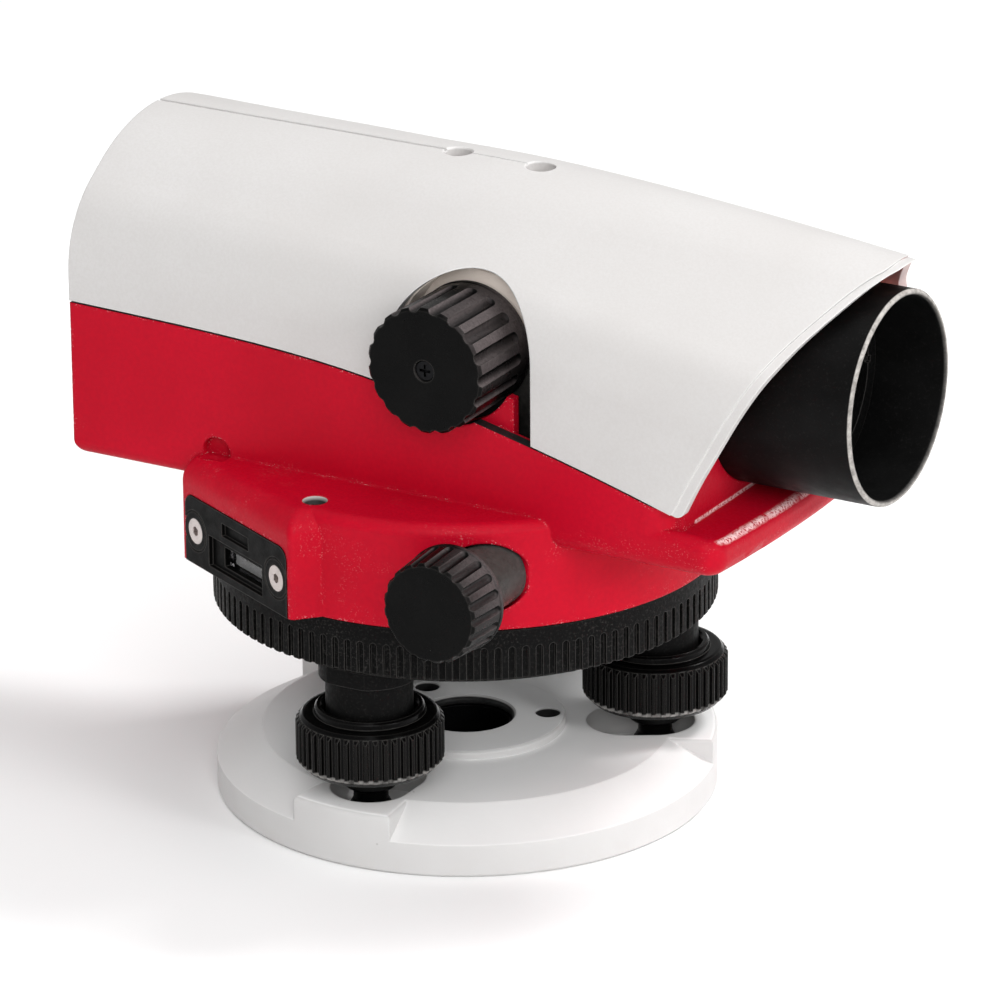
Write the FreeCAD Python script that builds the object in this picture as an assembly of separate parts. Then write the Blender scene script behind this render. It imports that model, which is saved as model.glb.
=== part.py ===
"""Automatic level: base plate, foot screws, tribrach, horizontal circle, head, telescope and focus drive.

Millimetres. +Z is up, +X points out of the objective and +Y to the left of the line of sight.
The origin is the centre of the base plate's bottom face, on the vertical axis.
"""
import FreeCAD, Part
import math
import os

V = FreeCAD.Vector
X_AXIS = V(1, 0, 0)
Y_AXIS = V(0, 1, 0)
Z_AXIS = V(0, 0, 1)

# ---- driving dimensions ------------------------------------------------------------------------
# base plate
base_r = 46.5
base_wall = 6.3
base_top = 11.1
base_flat_r = 38.0
boss_r = 18.4
boss_top = 12.7
tripod_r = 7.94              # 5/8 inch thread, as a plain wall at the major radius
tripod_length = 9.5
bush_r = 8.8
ear_root_half = 7.4           # half width of an ear at ear_root_r, growing outwards
ear_root_r = 20.0
ear_spread = 0.106
ear_round = 0.9

# foot screws
foot_radius = 34.9
foot_angles = {"right": -90.0, "front": 30.0, "rear": 150.0}
knob_r = 13.5
knob_low = 16.0
knob_top = 26.25
knob_floor = 19.6
knob_ribs = 46
stem_r = 3.5
sleeve_r = 8.0
sleeve_low = 23.5

# tribrach and horizontal circle
tribrach_top = 37.9
ring_low = 38.2
ring_top = 48.2
ring_grooves = 116
groove_top = 44.5
spindle_r = 7.0
spindle_top = 73.0
run = 0.05                   # radial clearance of a running fit
seat = 0.02                  # radial clearance of a seated piece

# head casting
house_r = 47.8
house_low = 48.5
shelf_z = 68.3
body_low = 62.8
body_half = 31.6
body_rear = -64.5
bulkhead_x = 61.2
chin_x = 70.5
chin_top = 69.3
chin_bow = 1.5
chin_rear = 20.0
chin_lip_round = 2.2
body_round = 3.0
floor_z = 68.0
wall = 3.0
lip_rise = 6.0                # inner lip above the edge of the cover
lip_outer = 29.3
lip_inner = 27.4
sunk_screw = (-5.9, -42.9)
sink_depth = 1.3
niche_x = -33.6
niche_r = 2.9
facet_distance = 49.0
facet_angle = -117.1
facet_half = 18.6
reading_aside = 2.0           # the reading opening sits off the middle of the facet
reading_half = 7.2

# cover shell
cover_half = 31.8
cover_peak = 122.2
cover_front_peak = 116.0
cover_front_x = 90.0
cover_straight_x = 10.0
cover_fall_power = 1.435
cover_ridge_r = (36.0, 13.7)       # radius over the ridge at the rear and at the front
cover_shoulder_r = (19.0, 14.4)
cover_slope = (35.0, 37.6)         # degrees, between the ridge and the shoulder
cover_t = 2.2
cover_gap = 0.4
rim_band = 2.0                # stepped band along the slanted front edge
rim_step = 0.3

# telescope
axis_z = 90.5
hood_r = 19.5
hood_inner = 18.3
hood_front = 88.6
tube_r = 16.0
tube_inner = 14.0
tube_rear = -20.0
carriage_r = tube_inner - run

# focus drive
focus_x = 15.0
focus_z = 95.3
focus_rear_y = -22.0
focus_face_y = -39.6
focus_r = 11.6
pinion_teeth = 10
pinion_module = 0.6
pinion_y = (-17.2, -14.4)
boss_face_y = -21.7
boss_back_y = -19.3
pocket_gap = 0.9

# horizontal drive
drive_x = 26.6
drive_z = 58.3
drive_rim_y = 49.2
drive_face_y = 58.7
drive_r = 9.9
drive_face_r = 9.25
drive_shaft_r = 2.5
drive_hub_r = 6.2
drive_hub_length = 14.2
drive_hole_r = 6.7
worm_teeth = 60
worm_wheel_r = 21.0
worm_pitch_r = 5.6
worm_turns = 5

# compensator
comp_x = -34.0
comp_pivot_z = 104.0

# eyepiece
eye_tube_r = 8.6
eye_tube_inner = 7.2
eye_tube_rear = -73.0
dioptre_r = 10.5
dioptre_rear = -74.5
eye_end_x = -77.0

# circular level
level_x = -6.0
level_y = 39.8
level_r = 7.2

os.makedirs("parts", exist_ok=True)


# ---- helpers -----------------------------------------------------------------------------------
def save(name, shape):
    """Write one node's STEP file."""
    shape.exportStep("parts/" + name + ".step")
    print(name, len(shape.Solids), round(shape.Volume / 1000.0, 2), "cm3", shape.isValid())


def rod(r, start, end, direction=Z_AXIS, centre=(0, 0, 0)):
    """Cylinder from start to end along an axis that passes through centre."""
    origin = V(*centre)
    return Part.makeCylinder(r, end - start, origin + direction * start, direction)


def tube(r_out, r_in, start, end, direction=Z_AXIS, centre=(0, 0, 0)):
    """Round tube."""
    outer = rod(r_out, start, end, direction, centre)
    return outer.cut(rod(r_in, start - 1, end + 1, direction, centre))


def block(x0, x1, y0, y1, z0, z1):
    """Box between two corners."""
    return Part.makeBox(x1 - x0, y1 - y0, z1 - z0, V(x0, y0, z0))


def turned(points, centre=(0, 0, 0), direction=Z_AXIS):
    """Solid of revolution from (radius, height) points."""
    pts = [V(r, 0, h) for r, h in points]
    face = Part.Face(Part.makePolygon(pts + [pts[0]]))
    solid = face.revolve(V(0, 0, 0), Z_AXIS, 360)
    solid.Placement = FreeCAD.Placement(V(*centre), FreeCAD.Rotation(Z_AXIS, direction))
    return solid


def plate(points, low, high):
    """Polygon in plan, from low to high."""
    pts = [V(x, y, low) for x, y in points]
    return Part.Face(Part.makePolygon(pts + [pts[0]])).extrude(V(0, 0, high - low))


def fuse(first, *others):
    """Union of several solids."""
    return first.multiFuse(list(others)) if others else first


def group(shapes):
    """Several separate solids in one node."""
    return Part.makeCompound(shapes)


def spin(shape, angle, axis=Z_AXIS, centre=(0, 0, 0)):
    """Copy of a shape turned about an axis."""
    copy = shape.copy()
    copy.rotate(V(*centre), axis, angle)
    return copy


def around(shape, count, axis=Z_AXIS, centre=(0, 0, 0), start=0.0):
    """Evenly spaced copies of a shape about an axis."""
    return [spin(shape, start + 360.0 * i / count, axis, centre) for i in range(count)]


def polar(radius, angle):
    """Point in plan at a radius and an angle in degrees."""
    return (radius * math.cos(math.radians(angle)), radius * math.sin(math.radians(angle)))


def rounded(shape, radius, pick):
    """Fillet the edges whose middle point passes the test."""
    edges = [e for e in shape.Edges if pick(e.CenterOfMass, e)]
    return shape.makeFillet(radius, edges)


def lens(x_mid, radius, edge, front, back, z=axis_z, y=0.0):
    """Lens on an axis along X: edge thickness, and the bulge of each face (negative is hollow)."""
    a = V(x_mid - edge / 2, 0, 0)
    b = V(x_mid + edge / 2, 0, 0)
    up = V(0, 0, radius)
    back_pole = V(x_mid - edge / 2 - back, 0, 0)
    front_pole = V(x_mid + edge / 2 + front, 0, 0)
    half = math.sin(math.radians(45))

    def arc_middle(pole, rim_x):
        """Point of the lens face's arc, between the pole and the rim."""
        bulge = pole.x - rim_x
        sphere = (radius * radius + bulge * bulge) / (2 * abs(bulge))
        side = 1 if bulge > 0 else -1
        height = radius * half
        return V(pole.x - side * (sphere - math.sqrt(sphere ** 2 - height ** 2)), 0, height)

    edges = [
        Part.LineSegment(back_pole, front_pole).toShape(),
        Part.Arc(front_pole, arc_middle(front_pole, b.x), b + up).toShape(),
        Part.LineSegment(b + up, a + up).toShape(),
        Part.Arc(a + up, arc_middle(back_pole, a.x), back_pole).toShape(),
    ]
    solid = Part.Face(Part.Wire(edges)).revolve(V(0, 0, 0), X_AXIS, 360)
    solid.translate(V(0, y, z))
    return solid


def cross_screw(head_r, head_h, shank_r, length):
    """Countersunk screw, head up at z = 0, with a cross recess."""
    screw = turned([(0, 0), (head_r, 0), (shank_r, -head_h), (shank_r, -length), (0, -length)])
    bar = block(-head_r * 0.6, head_r * 0.6, -head_r * 0.13, head_r * 0.13, -head_h * 0.7, 1)
    return screw.cut(fuse(bar, spin(bar, 90)))


def hex_screw(head_r, head_h, shank_r, length, key):
    """Countersunk screw, head up at z = 0, with a hexagon socket."""
    screw = turned([(0, 0), (head_r, 0), (head_r, -0.3), (shank_r, -head_h), (shank_r, -length),
                    (0, -length)])
    socket = plate([polar(key, 60 * i) for i in range(6)], -head_h * 0.8, 1)
    return screw.cut(socket)


def placed(shape, position, direction):
    """Copy of a shape modelled along +Z, moved so that +Z points along direction."""
    copy = shape.copy()
    turn = FreeCAD.Placement(V(*position), FreeCAD.Rotation(Z_AXIS, direction))
    copy.Placement = turn.multiply(copy.Placement)
    return copy


# ---- base --------------------------------------------------------------------------------------
foot_xy = {name: polar(foot_radius, angle) for name, angle in foot_angles.items()}
spring_z = 2.6
spring_t = 0.8
pocket_floor = 5.2
small_hole_r = 2.35
small_hole_radius = 15.0
small_hole_floor = 6.4
small_hole_angles = (30.0, 150.0, 270.0)


def base_plate():
    """Round plate with a bevelled rim, full-height ears at the feet and a raised centre boss."""
    body = turned([(0, 0), (base_r - 0.5, 0), (base_r, 0.5), (base_r, base_wall), (base_flat_r, base_top),
                   (boss_r, base_top), (boss_r, boss_top - 0.4), (boss_r - 0.4, boss_top), (0, boss_top)])
    drum = tube(base_r, ear_root_r, 0.5, base_top)
    reach = base_r + 2.0
    reach_half = ear_root_half + ear_spread * (reach - ear_root_r)
    wedge = plate([(ear_root_r, -ear_root_half), (reach, -reach_half), (reach, reach_half),
                   (ear_root_r, ear_root_half)], 0, 20)
    ear = rounded(drum.common(wedge), ear_round, lambda p, e: p.z > base_top - 0.01 and p.x > ear_root_r + 2)
    for angle in foot_angles.values():
        body = body.fuse(spin(ear, angle))
    body = body.removeSplitter()
    cuts = [rod(bush_r, -1, 11.2), rod(bush_r - 0.4, 11, 20),
            turned([(0, 12.0), (bush_r - 0.4, 12.0), (bush_r + 0.4, 12.8), (0, 12.8)]),
            rod(30.0, -1, spring_z + spring_t + 0.4).cut(rod(bush_r + 3, -2, 20))]
    for name, (x, y) in foot_xy.items():
        angle = foot_angles[name]
        inner_x, inner_y = polar(foot_radius - 5.4, angle)
        bridge = block(foot_radius - 5.4, foot_radius, -7.4, 7.4, pocket_floor, 20)
        cuts += [rod(7.4, pocket_floor, 20, centre=(x, y, 0)),
                 rod(7.4, pocket_floor, 20, centre=(inner_x, inner_y, 0)), spin(bridge, angle),
                 rod(2.6, -1, 20, centre=(x, y, 0)),
                 rod(7.0, -1, spring_z + spring_t + 0.4, centre=(x, y, 0)),
                 turned([(0, 3.0), (2.6, 3.0), (4.6, pocket_floor + 0.01), (0, pocket_floor + 0.01)],
                        (x, y, 0))]
    for angle in small_hole_angles:
        x, y = polar(small_hole_radius, angle)
        cuts.append(rod(small_hole_r, small_hole_floor, 20, centre=(x, y, 0)))
        cuts.append(rod(1.3, -1, 20, centre=(x, y, 0)))
    return body.cut(group(cuts))


def tripod_bush():
    """Threaded bush for the tripod screw, pressed into the plate."""
    return turned([(tripod_r, 0.6), (tripod_r + 0.4, 0.2), (bush_r - seat, 0.2), (bush_r - seat, 11.0),
                   (tripod_r, 11.0)])


def spring_plate():
    """Star-shaped leaf spring under the plate; each arm pulls one foot screw into its seat."""
    star = tube(bush_r + 8.5, bush_r + 3.4, spring_z, spring_z + spring_t)
    for angle in foot_angles.values():
        arm = block(bush_r + 5, foot_radius, -4.5, 4.5, spring_z, spring_z + spring_t)
        eye = rod(5.6, spring_z, spring_z + spring_t, centre=(foot_radius, 0, 0))
        star = star.fuse(spin(arm.fuse(eye), angle))
    holes = [rod(1.75, 0, 9, centre=(x, y, 0)) for x, y in foot_xy.values()]
    holes += [rod(1.35, 0, 9, centre=(*polar(small_hole_radius, a), 0)) for a in small_hole_angles]
    return star.cut(group(holes)).removeSplitter()


def spring_screws():
    """Brass screws that hold the spring plate; their nuts show in the boss holes."""
    screws = []
    for angle in small_hole_angles:
        x, y = polar(small_hole_radius, angle)
        shank = rod(1.25, spring_z, small_hole_floor + 2.2)
        head = rod(2.2, spring_z - 1.4, spring_z)
        nut = rod(small_hole_r - 0.25, small_hole_floor + 0.05, small_hole_floor + 1.7)
        slot = block(-3, 3, -0.3, 0.3, small_hole_floor + 1.2, 12)
        screw = fuse(shank, head, nut).cut(slot).removeSplitter()
        screw.translate(V(x, y, 0))
        screws.append(screw)
    return group(screws)


# ---- foot screws -------------------------------------------------------------------------------
def foot_knob():
    """Ribbed knob with a raised collar; its recess takes the sleeve above."""
    outline = []
    pitch = 360.0 / knob_ribs
    for i in range(knob_ribs):
        outline += [polar(knob_r - 0.75, pitch * (i - 0.30)), polar(knob_r - 0.1, pitch * (i - 0.17)),
                    polar(knob_r, pitch * i), polar(knob_r - 0.1, pitch * (i + 0.17)),
                    polar(knob_r - 0.75, pitch * (i + 0.30))]
    ribbed = plate(outline, knob_low + 0.9, knob_top - 0.9)
    envelope = [(0, knob_low + 0.9), (knob_r - 0.6, knob_low + 0.9), (knob_r, knob_low + 1.6),
                (knob_r, knob_top - 1.6), (knob_r - 0.6, knob_top - 0.9), (0, knob_top - 0.9)]
    ribbed = ribbed.common(turned(envelope))
    core = turned([(stem_r, knob_low), (12.0, knob_low), (12.75, knob_low + 0.75), (12.75, knob_top - 0.8),
                   (12.2, knob_top - 0.15), (11.7, knob_top), (10.2, knob_top), (10.0, knob_top + 0.9),
                   (9.6, knob_top + 1.35), (9.0, knob_top + 1.35), (8.4, knob_top + 0.8), (8.4, knob_floor),
                   (stem_r, knob_floor)])
    recess = rod(sleeve_r + 0.4, knob_floor, 60)
    return fuse(core, ribbed).cut(group([rod(stem_r + seat, 0, knob_floor + 1), recess])).removeSplitter()


def foot_stem():
    """Brass screw: thread, collar with its washer under the knob, ball foot, neck and retaining head."""
    return turned([(0, 1.0), (2.6, 1.0), (2.6, spring_z - 0.1), (1.6, spring_z - 0.1), (1.6, 4.0), (3.0, 4.7),
                   (4.1, 6.6), (4.1, 7.6), (3.2, 9.2), (3.2, 11.5), (4.6, 11.7), (5.0, 12.1), (5.0, 13.0),
                   (4.5, 13.2), (4.5, knob_low - 0.05), (stem_r, knob_low - 0.05), (stem_r, 33.6),
                   (stem_r - 0.6, 34.2), (0, 34.2)])


# ---- tribrach ----------------------------------------------------------------------------------
def tribrach():
    """Shallow black dish that carries the sleeves and the spindle."""
    dish = turned([(spindle_r, 31.5), (30.0, 31.5), (42.6, 36.6), (43.4, 37.0), (43.4, tribrach_top),
                   (12.0 - run, tribrach_top), (12.0 - run, 46.0), (spindle_r, 46.0)])
    bore = rod(spindle_r + seat, 20, 60)
    holes = [rod(sleeve_r + seat, 20, 36.8, centre=(x, y, 0)) for x, y in foot_xy.values()]
    collars = [rod(sleeve_r + 1.2, 33.6, 36.8, centre=(x, y, 0)) for x, y in foot_xy.values()]
    keep = rod(43.4, 20, tribrach_top)
    return dish.fuse(group(collars).common(keep)).cut(group([bore] + holes)).removeSplitter()


def foot_sleeves():
    """Threaded sleeves that run on the foot screws."""
    sleeve = turned([(stem_r + run, sleeve_low + 0.6), (stem_r + 0.6, sleeve_low),
                     (sleeve_r - 0.3, sleeve_low), (sleeve_r, sleeve_low + 0.3), (sleeve_r, 36.75),
                     (stem_r + run, 36.75)])
    shapes = []
    for x, y in foot_xy.values():
        copy = sleeve.copy()
        copy.translate(V(x, y, 0))
        shapes.append(copy)
    return group(shapes)


def vertical_spindle():
    """Hollow steel spindle that the head turns on."""
    return turned([(3.5, 31.6), (spindle_r, 31.6), (spindle_r, spindle_top - 0.5),
                   (spindle_r - 0.5, spindle_top), (3.5, spindle_top)])


def spindle_nut():
    """Ring nut that keeps the head on the spindle."""
    nut = tube(10.2, spindle_r + seat, 70.4, 72.6)
    slots = around(block(8.8, 11, -1, 1, 70, 73), 4)
    return nut.cut(group(slots))


def clutch_spring():
    """Conical spring washer that grips the worm wheel, so that the head slips when turned by hand."""
    return turned([(spindle_r + 0.1, 46.2), (spindle_r + 0.9, 46.05), (11.0, 48.9), (11.0, 49.7),
                   (10.2, 49.7)])


# ---- horizontal circle -------------------------------------------------------------------------
def circle_ring():
    """Knurled ring that the user turns to set the circle."""
    ring = turned([(12.0, ring_low), (base_r - 0.3, ring_low), (base_r, ring_low + 0.3),
                   (base_r, ring_top - 0.5), (base_r - 0.5, ring_top), (43.6, ring_top), (43.6, 46.5),
                   (41.6, 46.5), (41.6, 40.4),
                   (15.5, 40.4), (15.5, 44.0), (12.0, 44.0)])
    half = 0.62
    slot = block(base_r - 0.75, base_r + 1, -half, half, ring_low - 1, groove_top - half)
    end = rod(half, base_r - 0.75, base_r + 1, X_AXIS, (0, 0, groove_top - half))
    return ring.cut(group(around(slot.fuse(end), ring_grooves)))


def graduated_circle():
    """Silvered disc with one mark per two degrees."""
    disc = tube(43.5, 36.0, 46.55, 47.4)
    short = block(41.6, 43.0, -0.13, 0.13, 47.25, 48)
    long = block(40.2, 43.0, -0.16, 0.16, 47.25, 48)
    marks = [spin(long if i % 5 == 0 else short, 2.0 * i) for i in range(180)]
    return disc.cut(group(marks))


# ---- fine drive --------------------------------------------------------------------------------
worm_pitch = 2 * math.pi * worm_wheel_r / worm_teeth
backlash = 0.26


def worm_wheel():
    """Toothed wheel gripped by the clutch spring."""
    pitch_angle = 360.0 / worm_teeth
    root_r = worm_wheel_r - 0.85
    tip_r = worm_wheel_r + 0.5
    quarter = pitch_angle / 4 - math.degrees(backlash / 2 / worm_wheel_r)
    slope = math.degrees(0.42 / worm_wheel_r)
    outline = []
    for i in range(worm_teeth):
        mid = pitch_angle * (i + 0.5)
        outline += [polar(root_r, mid - quarter - slope), polar(tip_r, mid - quarter + slope * 0.55),
                    polar(tip_r, mid + quarter - slope * 0.55), polar(root_r, mid + quarter + slope)]
    rim = plate(outline, drive_z - 1.4, drive_z + 1.4)
    hub = turned([(0, 49.9), (11.0, 49.9), (11.0, drive_z - 1.4), (11.0, drive_z + 1.5), (0, drive_z + 1.5)])
    windows = around(rod(2.6, 40, 70, centre=(15.6, 0, 0)), 6, start=30)
    return fuse(rim, hub).cut(group([rod(spindle_r + run, 40, 70)] + windows)).removeSplitter()


def worm_shaft():
    """Cross shaft with its worm thread."""
    start = -worm_turns * worm_pitch / 2
    helix = Part.makeHelix(worm_pitch, worm_turns * worm_pitch, worm_pitch_r - 0.7)
    root = worm_pitch_r - 0.75
    tip = worm_pitch_r + 0.5
    half_pitch = worm_pitch / 4 - backlash / 2
    low = half_pitch + 0.38
    high = half_pitch - 0.22
    corners = [V(root, 0, -low), V(tip, 0, -high), V(tip, 0, high), V(root, 0, low)]
    section = Part.makePolygon(corners + [corners[0]])
    thread = Part.Wire(helix.Edges).makePipeShell([section], True, True)
    thread = Part.Solid(thread) if thread.ShapeType == "Shell" else thread
    thread.translate(V(0, 0, start))
    core = rod(root + 0.05, start - 2, -start + 2)
    shaft = rod(drive_shaft_r, -56.0, 56.0)
    worm = fuse(core, thread, shaft)
    worm.rotate(V(0, 0, 0), X_AXIS, -90)
    worm.translate(V(drive_x, 0, drive_z))
    return worm


def drive_bushes():
    """Bronze bushes at both ends of the cross shaft."""
    centre = (drive_x, 0, drive_z)
    ends = [tube(4.5 - seat, drive_shaft_r + run, 27.0, 34.3, Y_AXIS, centre),
            tube(4.5 - seat, drive_shaft_r + run, -34.3, -27.0, Y_AXIS, centre)]
    return group(ends)


def fluted_knob(rear_r, face_r, length, flutes, flute_r, flute_start, hub_r, hub_length, bore_r):
    """Knob along +Z from its rear rim at z = 0: thin rear flange, tapered body with round-ended flutes."""
    body = turned([(0, 0), (rear_r - 0.25, 0), (rear_r, 0.25), (rear_r, 0.9), (rear_r - 0.15, 1.2),
                   (face_r, length - 0.5), (face_r - 0.5, length), (0, length)])
    lean = math.degrees(math.atan((rear_r - face_r) / length))
    cutter = rod(flute_r, flute_start, length + 2).fuse(Part.makeSphere(flute_r, V(0, 0, flute_start)))
    cutter.rotate(V(0, 0, 0), Y_AXIS, -lean)
    cutter.translate(V(rear_r + flute_r * 0.45, 0, 0))
    body = body.cut(group(around(cutter, flutes)))
    if hub_length:
        body = body.fuse(rod(hub_r, -hub_length, 0.5))
    return body.cut(rod(bore_r, -60, length - 2.2)).removeSplitter()


def drive_knob(side):
    """One knob of the cross shaft; side is -1 on the right and 1 on the left."""
    knob = fluted_knob(drive_r, drive_face_r, drive_face_y - drive_rim_y, 20, 1.0, 2.0,
                       drive_hub_r, drive_hub_length, drive_shaft_r + seat)
    return placed(knob, (drive_x, side * drive_rim_y, drive_z), V(0, side, 0))


# ---- head casting ------------------------------------------------------------------------------
def cover_edge(offset=0.0):
    """Lower edge of the cover in the XZ plane, from front to rear."""
    spline = Part.BSplineCurve()
    spline.interpolate([V(60.8, 0, 73.6 - offset), V(42.0, 0, 79.1 - offset), V(20.0, 0, 84.6 - offset),
                        V(0, 0, 88.7 - offset), V(-31.0, 0, 91.7 - offset),
                        V(body_rear - 1, 0, 92.8 - offset)])
    return spline


def side_profile(low, offset, width):
    """Body side wall from its low edge up to the cover's edge, extruded across the width."""
    top = cover_edge(offset).toShape()
    front = top.valueAt(top.FirstParameter)
    rear = top.valueAt(top.LastParameter)
    corners = [rear, V(rear.x, 0, low), V(front.x, 0, low), front]
    wire = Part.Wire([top] + [Part.LineSegment(a, b).toShape() for a, b in zip(corners, corners[1:])])
    solid = Part.Face(wire).extrude(V(0, 2 * width, 0))
    solid.translate(V(0, -width, 0))
    return solid


def upper_body():
    """Telescope trough: side walls up to the cover's edge, rounded at the bottom and the front corners."""
    case = block(body_rear, bulkhead_x, -body_half, body_half, body_low, 100)
    case = rounded(case, 6.5, lambda p, e: abs(p.x - bulkhead_x) < 0.01 and abs(abs(p.y) - body_half) < 0.01)
    case = rounded(case, body_round, lambda p, e: abs(p.z - body_low) < 0.01 and p.x < 40 and abs(p.x) < 66)
    return case.common(side_profile(50, cover_gap, 40).fuse(block(60, 62, -40, 40, 50, 73.0)))


def chin():
    """Shelf below the objective hood, with a round nose."""
    corner_x = chin_x - chin_bow
    right = V(corner_x, -body_half, 0)
    left = V(corner_x, body_half, 0)
    right_rear = V(chin_rear, -body_half, 0)
    left_rear = V(chin_rear, body_half, 0)
    plan = [
        Part.LineSegment(right_rear, right).toShape(),
        Part.Arc(right, V(chin_x, 0, 0), left).toShape(),
        Part.LineSegment(left, left_rear).toShape(),
        Part.LineSegment(left_rear, right_rear).toShape(),
    ]
    slab = Part.Face(Part.Wire(plan)).extrude(V(0, 0, 70.4 - body_low))
    slab.translate(V(0, 0, body_low))
    slab = rounded(slab, 4.0, lambda p, e: abs(abs(p.y) - body_half) < 0.01 and p.x > corner_x - 0.1)
    slope = plate([(bulkhead_x, -40), (90, -40), (90, 40), (bulkhead_x, 40)], 0, 5)
    slope.rotate(V(0, 0, 0), Y_AXIS, 6.5)
    slope.translate(V(0.0, 0, 77.4))
    slab = slab.cut(slope)
    slab = rounded(slab, body_round, lambda p, e: p.x > chin_rear + 1 and abs(p.z - body_low) < 0.05)
    return rounded(slab, chin_lip_round, lambda p, e: p.x > bulkhead_x + 3 and p.z > chin_top - 1.2)


def facet_block():
    """Block on the right rear of the housing that carries the circle window."""
    normal = V(math.cos(math.radians(facet_angle)), math.sin(math.radians(facet_angle)), 0)
    along = V(-normal.y, normal.x, 0)
    left = normal * facet_distance - along * facet_half
    right = normal * facet_distance + along * facet_half
    outline = [(left.x, left.y), (right.x, right.y), (-1.6, -47.6), (6.0, -30.0), (-20, 0), (-43.5, -19.5)]
    body = plate(outline, house_low, shelf_z)
    body = rounded(body, 1.2, lambda p, e: e.Length > 15 and abs(p.z - (house_low + shelf_z) / 2) < 0.1
                   and math.hypot(p.x, p.y) > 50)
    return rounded(body, 4.6, lambda p, e: p.z > shelf_z - 0.01 and math.hypot(p.x, p.y) > 48)


def facet_frame(distance, depth, half, low, high, corner=0.0, aside=0.0):
    """Solid on the facet plane, reaching inwards by depth, with rounded upper corners."""
    left = aside - half
    right = aside + half
    pts = plate([(left, low), (right, low), (right, high), (left, high)], 0, depth)
    if corner:
        pts = rounded(pts, corner, lambda p, e: abs(p.z - depth / 2) < 0.01 and p.y > high - 0.01)
    pts.rotate(V(0, 0, 0), X_AXIS, 90)
    pts.rotate(V(0, 0, 0), Z_AXIS, facet_angle + 90)
    normal = V(math.cos(math.radians(facet_angle)), math.sin(math.radians(facet_angle)), 0)
    pts.translate(normal * (distance - depth))
    return pts


def body_casting():
    """Red casting: drive housing below, telescope trough above, bulkheads and inner ribs."""
    drum = rounded(rod(house_r, house_low, shelf_z), 2.2, lambda p, e: abs(p.z - shelf_z) < 0.01)
    body = fuse(upper_body(), chin(), drum, facet_block())
    lip = side_profile(80, -lip_rise, lip_outer).common(block(body_rear + 1, 57, -40, 40, 80, 110))
    lip = lip.cut(block(-100, 100, -lip_inner, lip_inner, 70, 120)).cut(block(27.2, 34, -40, -20, 70, 120))
    inside = cover_t + cover_gap
    arch = arch_prism(inside, body_rear + 0.6, body_rear + 3.6)
    front_arch = arch_prism(inside, 56.2, bulkhead_x)
    ceiling = block(body_rear + wall, 56.2, -body_half + wall, body_half - wall, floor_z, 100)
    body = body.cut(ceiling)
    above = block(-80, 80, -40, 40, 66, 130)
    body = body.fuse(lip).fuse(arch.common(above)).fuse(front_arch.common(above))
    rib_half = body_half - wall + 0.5
    rib = block(tube_rear + 1, tube_rear + 5, -rib_half, rib_half, floor_z - 0.5, 96)
    body = body.fuse(rib)
    cavity = rod(house_r - wall - 0.3, house_low - 1, 63.3)
    pocket = block(drive_x - 7.2, drive_x + 7.2, -26.5, 26.5, 60, 65.3)
    hub = rod(14.0, 61.0, 70.0)
    boss = rod(8.6, -42, 42, Y_AXIS, (drive_x, 0, drive_z)).common(rod(house_r - 0.5, 40, 80))
    boss = boss.cut(block(0, 60, -26.5, 26.5, 40, 80))
    body = body.cut(cavity).cut(pocket.cut(rod(15, 0, 100))).fuse(hub).fuse(boss)
    centre = (drive_x, 0, drive_z)
    cuts = [rod(10.5 + seat, 50, 80), rod(4.5, -35, 35, Y_AXIS, centre),
            rod(drive_hole_r, 34.5, 60, Y_AXIS, centre), rod(drive_hole_r, -60, -34.5, Y_AXIS, centre),
            facet_frame(facet_distance + 1, 2.9, 17.6, house_low - 1, 61.7, 2.5),
            facet_frame(facet_distance + 1, 14, 8.2, 50.2, 55.4, aside=reading_aside),
            rod(tube_r + seat, tube_rear - 2, 56.6, X_AXIS, (0, 0, axis_z)),
            rod(hood_r + seat, 56.6, 70, X_AXIS, (0, 0, axis_z)),
            rod(14.5, 50, 60, X_AXIS, (0, 0, axis_z)),
            rod(eye_tube_r + seat, -70, -50, X_AXIS, (0, 0, axis_z)),
            rod(level_r + seat, 63.5, 80, centre=(level_x, level_y, 0)),
            rod(1.0, -70, -55, X_AXIS, (0, 0, axis_z - 15.0)),
            rod(focus_r + pocket_gap, -40, -24, Y_AXIS, (focus_x, 0, focus_z))]
    normal = V(math.cos(math.radians(facet_angle)), math.sin(math.radians(facet_angle)), 0)
    along = V(-normal.y, normal.x, 0)
    for side in (-14.0, 14.0):
        p = normal * (facet_distance - 9) + along * side
        cuts.append(Part.makeCylinder(1.05, 12, V(p.x, p.y, 55.1), normal))
    sink = turned([(0, 0.5), (2.6, 0.5), (2.3, 0), (1.85, -sink_depth), (1.1, -sink_depth - 1.1),
                   (1.1, -4.9), (0, -4.9)])
    cuts.append(placed(sink, (*sunk_screw, shelf_z), Z_AXIS))
    niche = rod(niche_r, -34.0, -29.9, Y_AXIS, (niche_x, 0, shelf_z + 0.4))
    cuts.append(niche.common(block(-40, -28, -36, -29, shelf_z - 0.5, 80)))
    return body.cut(group(cuts)).removeSplitter()


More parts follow.
